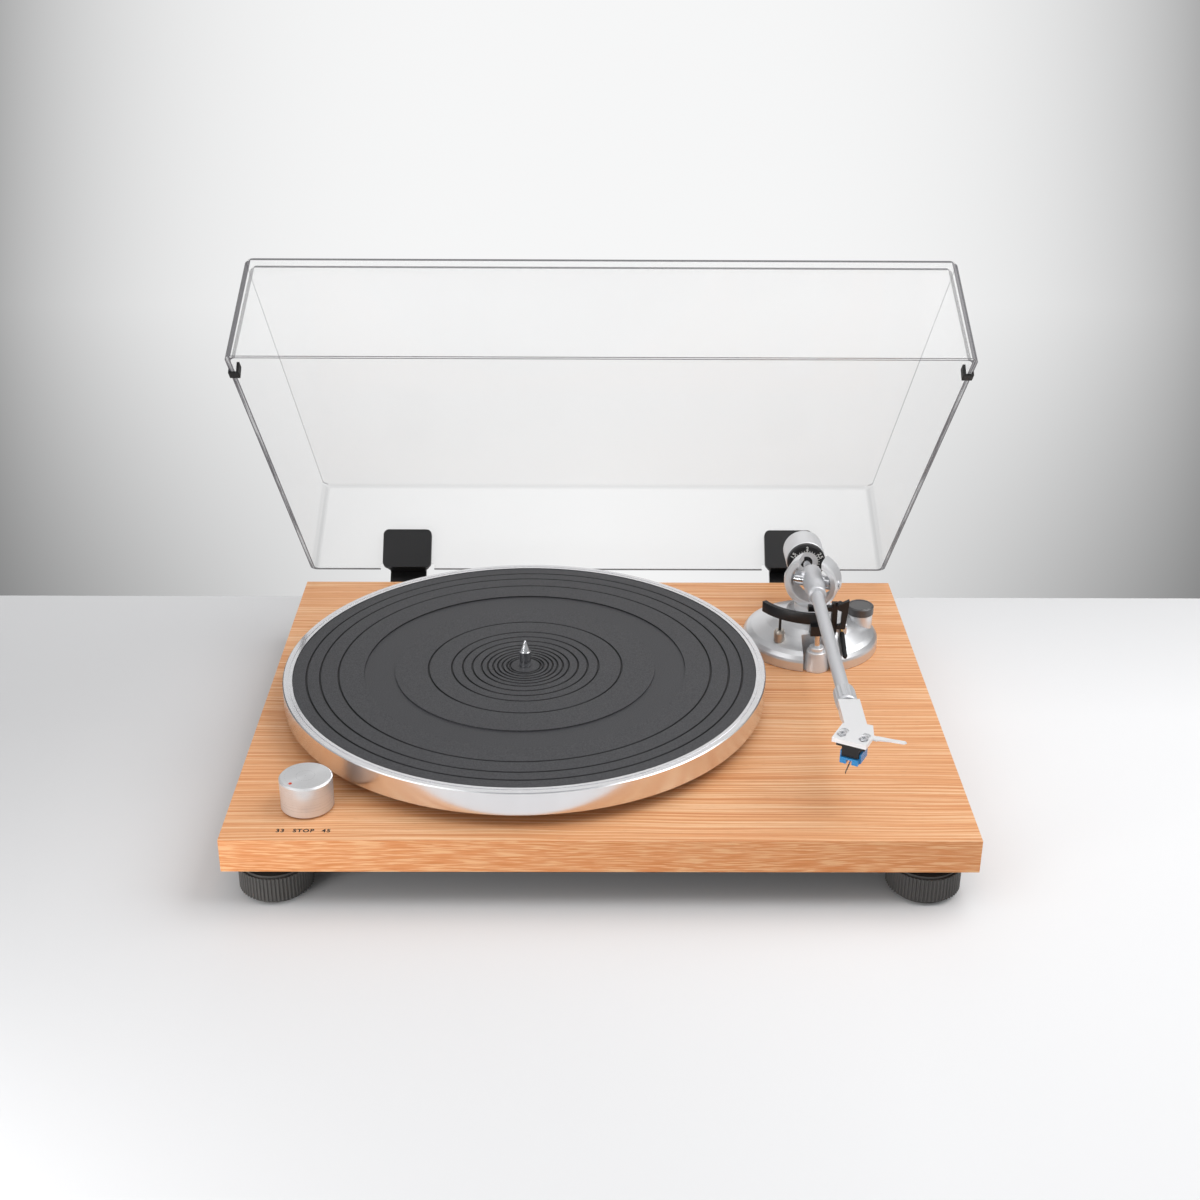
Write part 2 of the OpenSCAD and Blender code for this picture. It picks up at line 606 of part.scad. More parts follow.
// Ring axis seen from the foot under it, for cutting the foot to the ring's bore.
module on_ring_low() {
    translate([0, 0, arm_z - plateau_z - 0.4]) rotate([0, 0, -90 - ring_skew]) rotate([0, 90, 0]) children();
}
module tilt_screws() {
    color("#e8e8e8") on_ring() for (s = [-1, 1]) rotate([0, 0, 90 * s]) {
        rod_x(12.9, 2, 4.7);
        rod_x(10.6, 1.5 - fit, 2.3);
        rod_x(screw_seat, 3, 1.6);
    }
}
module tilt_shaft() {
    color("#e4e4e6") on_ring() rotate([0, 0, 90]) difference() {
        rod_x(-12, tilt_shaft_r, 24);
        for (s = [0, 180]) rotate([0, 0, s]) rod_x(9.6, 1.5, 4);
    }
}
module arm_hub() {
    color("#c6c7c9") on_arm() difference() {
        union() {
            lathe_x([[-11, 0], [-11, hub_r - 1.2], [-9.5, hub_r], [12, hub_r], [17.5, hub_r - 1.3],
                [19.5, hub_r - 1.3], [20, hub_r - 0.8], [23.6, hub_r - 0.8], [24.4, hub_r - 1.4],
                [25, tube_d / 2 + 0.3], [25, 0]]);
            translate([0, 0, -weight_drop]) rod_x(-13, 3.8, 10);
        }
        rod_x(8, tube_d / 2, 30);
        rotate([0, 0, 90 - ring_skew]) rod_x(-20, tilt_shaft_r, 40);
        translate([0, 0, -weight_drop]) rod_x(-14, 2.6, 9);
    }
}
module arm_tube() {
    color("#bdbfc1") on_arm() difference() {
        rod_x(8, tube_d / 2, 160);
        rod_x(7, tube_d / 2 - tube_wall, 162);
    }
}
module counterweight_shaft() {
    color("#b9babc") on_arm() translate([0, 0, -weight_drop]) rod_x(-66, 2.6, 61);
}
module weight_sleeve() {
    color("#2a2a2a") on_arm() translate([0, 0, -weight_drop]) lathe_x([
        [weight_from - weight_len + 1, 2.6 + fit], [weight_from - weight_len + 1, 4.2],
        [weight_from + dial_t - 1, 4.2], [weight_from + dial_t - 1, 2.6 + fit]]);
}
module counterweight() {
    rear = weight_from - weight_len;
    color("#cbccce") on_arm() translate([0, 0, -weight_drop]) lathe_x([[rear, 4.2 + fit],
        [rear, weight_r - 1], [rear + 1, weight_r], [weight_from - 0.5, weight_r],
        [weight_from, weight_r - 0.5], [weight_from, 8], [weight_from + dial_t - 1, 8],
        [weight_from + dial_t - 1, 4.2 + fit]]);
}
module force_dial() {
    color("#191919") on_arm() translate([0, 0, -weight_drop]) lathe_x([[weight_from + 0.3, 8 + fit],
        [weight_from + 0.3, weight_r - 0.4], [weight_from + dial_t - 1, weight_r - 0.4],
        [weight_from + dial_t, weight_r - 1.6], [weight_from + dial_t, 8 + fit]]);
}
module headshell_collar() {
    knurls = 16;
    color("#c4c5c7") on_arm() difference() {
        union() {
            lathe_x([[collar_from, tube_d / 2 + 0.6], [collar_from, collar_r - 1.2],
                [collar_from + 1.4, collar_r - 0.4], [collar_to - 1, collar_r - 0.4],
                [collar_to, collar_r - 1], [collar_to, tube_d / 2 + 0.6]]);
            for (i = [0:knurls - 1]) rotate([i * 360 / knurls, 0, 0]) translate([0, 0, collar_r - 1.1])
                rod_x(collar_from + 2.6, 1, collar_to - collar_from - 5);
        }
        rod_x(collar_from - over, tube_d / 2 + fit, 40);
    }
}
module headshell() {
    z0 = shell_top - shell_t;
    color("#c8c9cb") {
        // stem along the arm and plate at the offset angle, with a stepped slot for each screw
        on_arm() difference() {
            translate([0, 0, z0]) linear_extrude(shell_t) difference() {
                union() {
                    translate([collar_to + 1, -6]) square([35.4, 12.6]);
                    on_plate() polygon([[-15, -6], [-10.5, -10], [7, -10], [7, 10], [-6, 10], [-16, 6]]);
                }
                screw_slots(1.45);
            }
            translate([0, 0, shell_top - slot_step]) linear_extrude(slot_step + over) screw_slots(2.5);
        }
        // neck that stiffens the stem, and the plug that enters the arm tube
        on_arm() translate([0, 5, 0]) rotate([90, 0, 0]) linear_extrude(10) polygon([
            [collar_to + 0.4, z0 + 2], [collar_to + 0.4, -4.4], [collar_to + 8, -4.4], [collar_to + 30, z0],
            [collar_to + 30, z0 + 2]]);
        on_arm() rod_x(collar_to - 12, tube_d / 2 - tube_wall - fit, 13);
    }
}
// Plan of the two screw slots, with half width r.
module screw_slots(r) {
    slot_from = -3.4;
    slot_run = 5;
    for (s = [-1, 1]) on_plate() translate([slot_from, s * screw_pitch / 2]) {
        translate([0, 0.03 - r]) square([slot_run, 2 * r - 0.06]);
        for (x = [0, slot_run]) translate([x, 0]) circle(r = r, $fn = 32);
    }
}
// Plan of the headshell plate, in the arm's plane.
module on_plate() { translate([screw_reach, -screw_side]) rotate(-offset_angle) children(); }
module finger_lift() {
    color("#d2d3d5") on_shell() difference() {
        union() {
            translate([-10.2, 3, cart_top - 0.9]) cube([4.4, 9, 0.9]);
            translate([-8.2, 11, cart_top - 0.9]) rotate([6, 0, 0]) linear_extrude(1)
                polygon([[-2.2, 0], [2, 0], [1, 8], [1.2, 16], [0, 17.4], [-1.2, 16], [-1.4, 8]]);
        }
        translate([-8.4, 5.5, cart_top - 2]) cylinder(r = 0.7, h = 3, $fn = 24);
    }
}
module cartridge() {
    top = cart_top - 0.9;
    color("#1c1c1e") on_shell() {
        difference() {
            translate([-3.6, -8.3, top - 2.4]) cube([7.4, 16.6, 2.4]);
            for (s = [-1, 1]) translate([0, s * screw_pitch / 2, top - 4]) cylinder(r = 1.3, h = 6);
        }
        translate([-12, -4.95, top - 8.6]) cube([15.4, 9.9, 8.6 - 2.4]);
        translate([-12, -4.95, top - 2.4]) cube([8.4, 9.9, 2.4]);
    }
    color("gold") on_shell() for (y = [-3.2, 3.2], z = [-4, -7])
        translate([0, y, top + z]) rod_x(-16.5, 0.6, 4.5);
}
module cartridge_screws() {
    color("#d8d8da") on_shell() for (s = [-1, 1])
        translate([0, s * screw_pitch / 2, shell_top - slot_step])
            screw(1.25, shell_t - slot_step + 0.9 + 2.4 + 1.4, 2.2, 1.3);
}
module stylus() {
    top = cart_top - 0.9;
    color("#1f7fd0") on_shell() {
        difference() {
            translate([-8, -5.3, top - 12.4]) cube([12.6, 10.6, 3.7]);
            translate([-1, -1.6, top - 13]) cube([8, 3.2, 3.2]);
        }
        for (y = [5.05, -6.1]) translate([-9, y, top - 12]) cube([11, 1.05, 6]);
    }
    color("silver") on_shell() {
        translate([0.5, 0, top - 11.4]) rotate([0, 24, 0]) translate([-1.6, 0, 0])
            rod_x(0, 0.35, 11);
        translate([8.4, 0, top - 16.6]) cylinder(r1 = 0.12, r2 = 0.3, h = 1.3, $fn = 24);
    }
}

// ---- dust cover and hinges --------------------------------------------------------------
// Tapered box with rounded upright corners: w by d at the rim, leaning in by draft.
module lid_block(w, d, h, lean, r) {
    hull() for (x = [-1, 1], y = [-1, 1]) {
        translate([x * (w / 2 - r), y * (d / 2 - r), 0]) cylinder(r = r, h = 0.01, $fn = 32);
        translate([x * (w / 2 - r - lean * 0.96), y * (d / 2 - r - lean * 0.96), h - 2.4])
            cylinder(r = r, h = 0.01, $fn = 32);
        translate([x * (w / 2 - r - lean - 0.5), y * (d / 2 - r - lean - 0.5), h - 0.7])
            cylinder(r = r, h = 0.01, $fn = 32);
        translate([x * (w / 2 - r - lean - 2), y * (d / 2 - r - lean - 2), h - 0.01])
            cylinder(r = r, h = 0.01, $fn = 32);
    }
}
notch_w = 39;
notch_h = 4;
module dust_cover() {
    rim = lid_lift + hinge_drop;
    mid = lid_rear - lid_d / 2 - hinge_y;
    color([0.85, 0.88, 0.9, 0.3]) on_lid() difference() {
        translate([0, mid, rim]) lid_block(lid_w, lid_d, lid_h, lid_draft, 5);
        translate([0, mid, rim - 0.01])
            lid_block(lid_w - 2 * lid_wall, lid_d - 2 * lid_wall, lid_h - lid_wall, lid_draft, 3.5);
        for (s = [-1, 1]) translate([s * hinge_x - notch_w / 2, lid_rear - hinge_y - 8, rim - over])
            cube([notch_w, 10, notch_h + over]);
    }
}
module hinge_covers() {
    // clamp round the rear wall: outer leaf, bridge through the notch, inner leaf
    inner = lid_rear - hinge_y - lid_wall;
    rim = lid_lift + hinge_drop;
    lean = atan(lid_draft / lid_h);
    color("#141414") on_lid() for (s = [-1, 1]) translate([s * hinge_x, 0, 0]) {
        difference() {
            union() {
                rotate([90, 0, 90]) translate([0, 0, -13]) cylinder(r = knuckle_r, h = 26);
                translate([-13, -3.5, 0]) cube([26, 4, rim + notch_h]);
                translate([-13, inner - 5, rim + 0.8]) cube([26, 5 - inner, notch_h - 1.6]);
            }
            rotate([90, 0, 90]) translate([0, 0, -20]) cylinder(r = hinge_pin_r + fit, h = 40);
        }
        // inner leaf, lying along the leaning wall
        translate([0, inner - 0.4, rim + 0.8]) rotate([lean, 0, 0]) rotate([90, 0, 0])
            translate([0, 13, 0]) linear_extrude(4.6) round_rect(hinge_w, 28.6, 4);
        // outer leaf
        translate([0, inner + lid_wall + 2.8, rim + 0.8]) rotate([lean, 0, 0]) rotate([90, 0, 0])
            translate([0, 13, 0]) linear_extrude(2.2) round_rect(hinge_w - 4, 26, 3);
    }
}
module hinge_brackets() {
    color("#111111") for (s = [-1, 1]) on_deck(s * hinge_x, plinth_d, 0) {
        // plate on the plinth's back, and two knuckles either side of the cover's one
        translate([-19, 0, -plinth_t + 0.5]) cube([38, 1.6, plinth_t - 4.5]);
        for (x = [-19, 13.3]) difference() {
            union() {
                translate([x, hinge_back, -hinge_drop]) rotate([90, 0, 90]) cylinder(r = 4.6, h = 5.7);
                translate([x, 1.6, -hinge_drop]) cube([5.7, hinge_back - 1.6, 4.6]);
            }
            translate([x - over, hinge_back, -hinge_drop]) rotate([90, 0, 90])
                cylinder(r = hinge_pin_r, h = 5.7 + 2 * over);
        }
    }
}
module hinge_pins() {
    color("silver") for (s = [-1, 1]) on_deck(s * hinge_x, hinge_y, -hinge_drop)
        rotate([90, 0, 90]) translate([0, 0, -19.6]) cylinder(r = hinge_pin_r, h = 39.2);
}
module lid_bumpers() {
    // small U of rubber over each side rim, near the front corner
    rim = lid_lift + hinge_drop;
    at = lid_rear - lid_d + 18 - hinge_y;
    pad = 6.5;
    color("#1a1a1a") on_lid() for (side = [0, 1]) mirror([side, 0, 0])
        translate([lid_w / 2 - lid_wall, at, rim]) {
            translate([-2.2, 0, -1.2]) cube([lid_wall + 3, pad, 1.2]);
            translate([-2.2, 0, 0]) cube([1.6, pad, 6]);
            translate([lid_wall, 0, -1.2]) cube([0.8, pad, 3]);
        }
}

// ---- feet ---------------------------------------------------------------------------
// Fluted levelling foot with a threaded stud.
module foot(i) {
    flutes = 60;
    depth = 0.7;
    p = foot_places[i];
    color("#1a1a1a") translate([p[0], front_y + p[1], 0]) {
        translate([0, 0, 3]) linear_extrude(14.6) polygon([for (k = [0:4 * flutes - 1])
            let (a = k * 90 / flutes, r = foot_r - (k % 4 < 2 ? 0 : depth)) r * [cos(a), sin(a)]]);
        cylinder(r = foot_r - 3.4, h = 3);
        translate([0, 0, 17.6]) cylinder(r = foot_r - 1.6, h = 1.4);
        cylinder(r = cover_hole_r - 1, h = foot_gap - 0.4);
        cylinder(r = stud_r, h = foot_gap + stud_h - 1);
    }
}
module foot_front_left() { foot(0); }
module foot_front_right() { foot(1); }
module foot_rear_left() { foot(2); }
module foot_rear_right() { foot(3); }

plinth();
bottom_cover();
case_screws();
rear_panel();
rca_jacks();
rca_inserts();
ground_terminal();
power_inlet();
output_switch();
circuit_board();
motor();
deck_screws();
motor_pulley();
motor_shaft();
drive_belt();
bearing_housing();
bearing_bush();
platter();
spindle();
platter_mat();
speed_selector();
speed_knob();
knob_mark();
tonearm_base();
yaw_bearing();
gimbal_ring();
tilt_screws();
arm_hub();
arm_tube();
tilt_shaft();
counterweight_shaft();
weight_sleeve();
counterweight();
force_dial();
headshell_collar();
headshell();
finger_lift();
cartridge();
cartridge_screws();
stylus();
lift_cylinder();
lift_guide();
lift_arc();
lift_piston();
cue_lever();
lever_sleeve();
arm_rest();
rest_clip();
antiskate_knob();
hinge_brackets();
hinge_pins();
hinge_covers();
dust_cover();
lid_bumpers();
foot_front_left();
foot_front_right();
foot_rear_left();
foot_rear_right();
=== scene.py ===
import math

import bmesh
import bpy
from mathutils import Matrix, Vector


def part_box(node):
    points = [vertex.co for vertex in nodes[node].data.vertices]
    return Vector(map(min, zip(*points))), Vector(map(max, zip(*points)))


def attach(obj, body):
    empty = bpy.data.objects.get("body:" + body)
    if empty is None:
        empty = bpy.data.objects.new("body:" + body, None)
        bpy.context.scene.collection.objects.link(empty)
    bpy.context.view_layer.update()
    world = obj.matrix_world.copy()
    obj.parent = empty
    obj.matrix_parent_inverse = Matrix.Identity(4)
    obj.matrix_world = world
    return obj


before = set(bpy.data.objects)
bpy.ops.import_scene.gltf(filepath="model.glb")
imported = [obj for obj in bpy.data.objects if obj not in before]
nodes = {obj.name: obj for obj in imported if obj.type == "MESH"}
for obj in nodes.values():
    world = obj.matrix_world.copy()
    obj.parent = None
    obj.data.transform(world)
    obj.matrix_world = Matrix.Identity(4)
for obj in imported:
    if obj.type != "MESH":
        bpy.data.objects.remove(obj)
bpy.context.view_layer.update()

MM = 0.001
scene = bpy.context.scene
scene.view_settings.view_transform = "Standard"

# ---- places taken from the frame --------------------------------------------------------
plinth_low, plinth_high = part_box("plinth")


def deck(x, y, z=0.0):
    """Metres, from millimetres right of the plinth's middle, behind its front edge and above its top."""
    return Vector((x * MM, plinth_low.y + y * MM, plinth_high.z + z * MM))


def middle(node):
    low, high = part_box(node)
    return (low + high) / 2


# the open cover: its hinge axis, opening angle, sawn rim and the middles of its walls there
HINGE_Y, HINGE_DROP = 340.0, 19.0
LID_OPEN = math.radians(46.1)
LID_RIM = 20.5 * MM
SIDE_WALL_X = 207.5 * MM
FRONT_WALL_Y = plinth_low.y + 6.5 * MM
# heights above the rim: top of the upright corners, start of the folds, and the line on the side folds
CORNER_TOP, FOLD_FROM = 64.0 * MM, 61.0 * MM
FOLD_LINE_FROM, FOLD_LINE_TO = 64.8 * MM, 65.7 * MM

# the mat's wide recess: radii between which the mat's painted groove shade is left out
RECESS_FROM, RECESS_TO = 80.8 * MM, 100.2 * MM

platter_mid = middle("platter")
knob_mid = middle("speed_knob")

# ---- material helpers -------------------------------------------------------------------


def lin(r, g, b):
    """A linear colour from 0-255 screen values."""
    return tuple(((c / 255 + 0.055) / 1.055) ** 2.4 if c > 10 else c / 255 / 12.92
                 for c in (r, g, b)) + (1.0,)


class Nodes:
    """Short calls for building one material's node tree."""

    def __init__(self, name):
        self.mat = bpy.data.materials.new(name)
        self.mat.use_nodes = True
        self.tree = self.mat.node_tree
        self.tree.nodes.clear()
        self.out = self.add("ShaderNodeOutputMaterial")
        self.bsdf = self.add("ShaderNodeBsdfPrincipled")
        self.tree.links.new(self.bsdf.outputs[0], self.out.inputs[0])
        self.coord = self.add("ShaderNodeTexCoord").outputs["Object"]

    def add(self, kind, **props):
        n = self.tree.nodes.new(kind)
        for k, v in props.items():
            setattr(n, k, v)
        return n

    def link(self, a, b):
        self.tree.links.new(a, b)

    def put(self, value, socket):
        if isinstance(value, bpy.types.NodeSocket):
            self.link(value, socket)
        else:
            socket.default_value = value

    def math(self, op, a, b=0.0, c=0.0, clamp=False):
        n = self.add("ShaderNodeMath", operation=op, use_clamp=clamp)
        for i, v in enumerate((a, b, c)):
            self.put(v, n.inputs[i])
        return n.outputs[0]

    def vmath(self, op, a, b=(0, 0, 0), out=0):
        n = self.add("ShaderNodeVectorMath", operation=op)
        self.put(a, n.inputs[0])
        self.put(b, n.inputs[1])
        return n.outputs[out]

    def scaled(self, scale, offset=(0, 0, 0), source=None):
        n = self.add("ShaderNodeMapping")
        self.put(source or self.coord, n.inputs["Vector"])
        n.inputs["Scale"].default_value = scale
        n.inputs["Location"].default_value = offset
        return n.outputs[0]

    def noise(self, vector, scale=1.0, detail=2.0, rough=0.5, distortion=0.0):
        n = self.add("ShaderNodeTexNoise")
        self.put(vector, n.inputs["Vector"])
        n.inputs["Scale"].default_value = scale
        n.inputs["Detail"].default_value = detail
        n.inputs["Roughness"].default_value = rough
        n.inputs["Distortion"].default_value = distortion
        return n.outputs["Fac"]

    def remap(self, value, a, b, c, d):
        n = self.add("ShaderNodeMapRange")
        for i, v in enumerate((value, a, b, c, d)):
            self.put(v, n.inputs[i])
        return n.outputs[0]

    def ramp(self, value, stops):
        n = self.add("ShaderNodeValToRGB")
        self.put(value, n.inputs[0])
        e = n.color_ramp.elements
        while len(e) < len(stops):
            e.new(0.5)
        for i, (p, c) in enumerate(stops):
            e[i].position, e[i].color = p, c
        return n.outputs[0]

    def mix(self, fac, a, b, blend="MIX"):
        n = self.add("ShaderNodeMix", data_type="RGBA", blend_type=blend)
        self.put(fac, n.inputs[0])
        self.put(a, n.inputs[6])
        self.put(b, n.inputs[7])
        return n.outputs[2]

    def bump(self, height, strength, distance, normal=None):
        n = self.add("ShaderNodeBump")
        n.inputs["Strength"].default_value = strength
        n.inputs["Distance"].default_value = distance
        self.put(height, n.inputs["Height"])
        if normal is not None:
            self.link(normal, n.inputs["Normal"])
        return n.outputs[0]

    def set(self, **values):
        for k, v in values.items():
            self.put(v, self.bsdf.inputs[k.replace("_", " ")])
        return self.mat


def grainy(name, color, dark=0.88, rough=0.4, rough_to=None, metal=0.0, grain=900, bump=0.15, depth=0.00004,
           coat=0.0, spec=0.5, blotch=30):
    """A moulded or blasted surface: fine grain in relief, slow changes of tone, uneven gloss."""
    n = Nodes(name)
    slow = n.noise(n.coord, blotch, 3)
    fine = n.noise(n.coord, grain, 3, 0.6)
    shade = tuple(c * dark for c in color[:3]) + (1.0,)
    tone = n.math("ADD", n.math("MULTIPLY", slow, 0.6), n.math("MULTIPLY", fine, 0.4))
    colour = n.mix(n.remap(tone, 0.35, 0.65, 0, 1), shade, color)
    hi = rough_to if rough_to is not None else rough + 0.12
    n.set(Base_Color=colour, Roughness=n.remap(slow, 0.3, 0.7, rough, hi), Metallic=metal,
          Normal=n.bump(fine, bump, depth))
    n.bsdf.inputs["Specular IOR Level"].default_value = spec
    n.bsdf.inputs["Coat Weight"].default_value = coat
    n.bsdf.inputs["Coat Roughness"].default_value = 0.15
    return n.mat


def turned(name, color, centre, axis="Z", rough=0.22, metal=1.0, lines=2600, streak=0.5, aniso=0.75,
           bump=0.12, dark=0.9):
    """Metal turned on a lathe about an axis through centre: fine rings, streaks of tone round the axis."""
    n = Nodes(name)
    p = n.vmath("SUBTRACT", n.coord, tuple(centre))
    s = n.add("ShaderNodeSeparateXYZ")
    n.link(p, s.inputs[0])
    x, y, z = s.outputs
    along = {"X": x, "Y": y, "Z": z}[axis]
    u, v = {"X": (y, z), "Y": (x, z), "Z": (x, y)}[axis]
    radius = n.math("SQRT", n.math("ADD", n.math("MULTIPLY", u, u), n.math("MULTIPLY", v, v)))
    c = n.add("ShaderNodeCombineXYZ")
    n.link(radius, c.inputs[0])
    n.link(along, c.inputs[1])
    rings = n.noise(c.outputs[0], lines, 2, 0.7)
    angle = n.math("ARCTAN2", u, v)
    round_ = n.add("ShaderNodeCombineXYZ")
    n.link(n.math("COSINE", angle), round_.inputs[0])
    n.link(n.math("SINE", angle), round_.inputs[1])
    streaks = n.noise(round_.outputs[0], 14, 3, 0.6)
    colour = n.mix(n.math("MULTIPLY", n.remap(streaks, 0.35, 0.65, 1, 0), streak),
                   color, tuple(v * dark for v in color[:3]) + (1,))
    tangent = n.add("ShaderNodeTangent", direction_type="RADIAL", axis=axis)
    n.set(Base_Color=colour, Metallic=metal, Roughness=n.remap(rings, 0.3, 0.7, rough * 0.85, rough * 1.2),
          Normal=n.bump(rings, bump, 0.00002))
    n.bsdf.inputs["Anisotropic"].default_value = aniso
    n.link(tangent.outputs[0], n.bsdf.inputs["Tangent"])
    return n.mat


# ---- materials --------------------------------------------------------------------------


def veneer():
    """Straight-grained light veneer: grain along X on the top and front, along Y on the ends."""
    n = Nodes("veneer")
    geo = n.add("ShaderNodeNewGeometry")
    nrm = n.add("ShaderNodeSeparateXYZ")
    n.link(geo.outputs["True Normal"], nrm.inputs[0])
    s = n.add("ShaderNodeSeparateXYZ")
    n.link(n.coord, s.inputs[0])
    x, y, z = s.outputs
    end = n.math("GREATER_THAN", n.math("ABSOLUTE", nrm.outputs[0]), 0.7)
    front = n.math("GREATER_THAN", n.math("ABSOLUTE", nrm.outputs[1]), 0.7)
    # u runs along the grain, v across it
    u = n.math("ADD", n.math("MULTIPLY", x, n.math("SUBTRACT", 1, end)), n.math("MULTIPLY", y, end))
    upright = n.math("MAXIMUM", end, front)
    v = n.math("ADD", n.math("MULTIPLY", y, n.math("SUBTRACT", 1, upright)),
               n.math("MULTIPLY", n.math("ADD", n.math("MULTIPLY", z, 1.0), 3.7), upright))

    def at(su, sv, off=0.0):
        c = n.add("ShaderNodeCombineXYZ")
        n.link(n.math("MULTIPLY", u, su), c.inputs[0])
        n.link(n.math("MULTIPLY", v, sv), c.inputs[1])
        n.link(n.math("ADD", n.math("MULTIPLY", upright, 5.0), off), c.inputs[2])
        return c.outputs[0]

    # slow drift of the lines, and a short ripple that only the upright faces have
    wander = n.math("MULTIPLY", n.math("SUBTRACT", n.noise(at(5, 14, 2), 1, 2), 0.5), 0.012)
    ripple = n.math("MULTIPLY", n.math("SUBTRACT", n.noise(at(240, 260, 7), 1, 1), 0.5),
                    n.math("MULTIPLY", upright, 0.0003))
    drift = n.math("ADD", v, n.math("ADD", wander, ripple))

    def band(su, sv, off, detail):
        c = n.add("ShaderNodeCombineXYZ")
        n.link(n.math("MULTIPLY", u, su), c.inputs[0])
        n.link(n.math("MULTIPLY", drift, sv), c.inputs[1])
        n.link(n.math("ADD", n.math("MULTIPLY", upright, 11), off), c.inputs[2])
        return n.noise(c.outputs[0], 1, detail, 0.6)

    run = n.math("ADD", 6, n.math("MULTIPLY", upright, 44))
    fine = band(run, 1500, 0, 1)
    lines = band(run, n.math("ADD", 640, n.math("MULTIPLY", upright, 500)), 3, 1)
    broad = band(2.5, 90, 6, 3)
    fibre = n.noise(at(60, 3800, 4), 1, 2, 0.6)
    pores = n.noise(at(120, 4200, 9), 1, 1, 0.5)
    tone = n.math("ADD", n.math("ADD", n.math("MULTIPLY", fine, 0.4), n.math("MULTIPLY", lines, 0.4)),
                  n.math("MULTIPLY", broad, 0.2))
    colour = n.ramp(tone, [(0.36, lin(214, 142, 92)), (0.44, lin(228, 161, 109)), (0.52, lin(236, 176, 128)),
                           (0.64, lin(244, 196, 150))])
    # crisp early-wood and late-wood lines
    colour = n.mix(n.remap(fine, 0.40, 0.45, 0.35, 0), colour, lin(206, 132, 80))
    colour = n.mix(n.remap(lines, 0.38, 0.43, 0.28, 0), colour, lin(208, 136, 84))
    colour = n.mix(n.remap(lines, 0.54, 0.58, 0, 0.45), colour, lin(253, 216, 174))
    # painted shade: the upright faces are made darker and redder than the top, in cream and orange stripes
    colour = n.mix(n.math("MULTIPLY", upright, 0.5), colour, lin(202, 122, 62))
    pale = n.math("MULTIPLY", n.remap(lines, 0.52, 0.60, 0, 0.5), upright)
    colour = n.mix(pale, colour, lin(240, 194, 144))
    colour = n.mix(n.remap(fibre, 0.30, 0.62, 0.3, 0), colour, lin(196, 124, 76))
    colour = n.mix(n.remap(pores, 0.24, 0.33, 0.5, 0), colour, lin(150, 86, 48))
    relief = n.math("ADD", n.math("MULTIPLY", fibre, 0.5), n.math("MULTIPLY", pores, 0.5))
    n.set(Base_Color=colour, Roughness=n.remap(lines, 0.3, 0.7, 0.5, 0.4),
          Normal=n.bump(relief, 0.12, 0.00005))
    n.bsdf.inputs["Specular IOR Level"].default_value = 0.3
    return n.mat


def rubber_mat():
    """Charcoal rubber with a fine moulded speckle, and painted shade in its grooves and at its steps."""
    n = Nodes("mat_rubber")
    fine = n.noise(n.coord, 1900, 2, 0.7)
    slow = n.noise(n.coord, 14, 3)
    colour = n.mix(n.remap(fine, 0.35, 0.68, 0, 1), lin(37, 37, 40), lin(67, 67, 71))
    colour = n.mix(n.remap(slow, 0.3, 0.7, 0, 0.25), colour, lin(46, 46, 50))
    s = n.add("ShaderNodeSeparateXYZ")
    n.link(n.coord, s.inputs[0])
    mat_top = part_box("platter_mat")[1].z
    # painted shade: the mat turns near black where its surface lies below its top, in its grooves and at its
    # steps
    painted_groove_shade = n.remap(s.outputs[2], mat_top - 0.0001, mat_top - 0.00035, 0.0, 0.85)
    # the painted groove shade is left out of the wide recess, which stays as pale as the rest of the mat
    away_x = n.math("SUBTRACT", s.outputs[0], platter_mid.x)
    away_y = n.math("SUBTRACT", s.outputs[1], platter_mid.y)
    square = n.math("ADD", n.math("MULTIPLY", away_x, away_x), n.math("MULTIPLY", away_y, away_y))
    radius = n.math("SQRT", square)
    in_recess = n.math("MULTIPLY", n.math("GREATER_THAN", radius, RECESS_FROM),
                       n.math("LESS_THAN", radius, RECESS_TO))
    painted_groove_shade = n.math("MULTIPLY", painted_groove_shade, n.math("SUBTRACT", 1, in_recess))
    colour = n.mix(painted_groove_shade, colour, lin(13, 13, 15))
    n.set(Base_Color=colour, Roughness=n.remap(fine, 0.3, 0.7, 0.62, 0.46),
          Normal=n.bump(fine, 0.5, 0.00012))
    n.bsdf.inputs["Specular IOR Level"].default_value = 0.65
    return n.mat


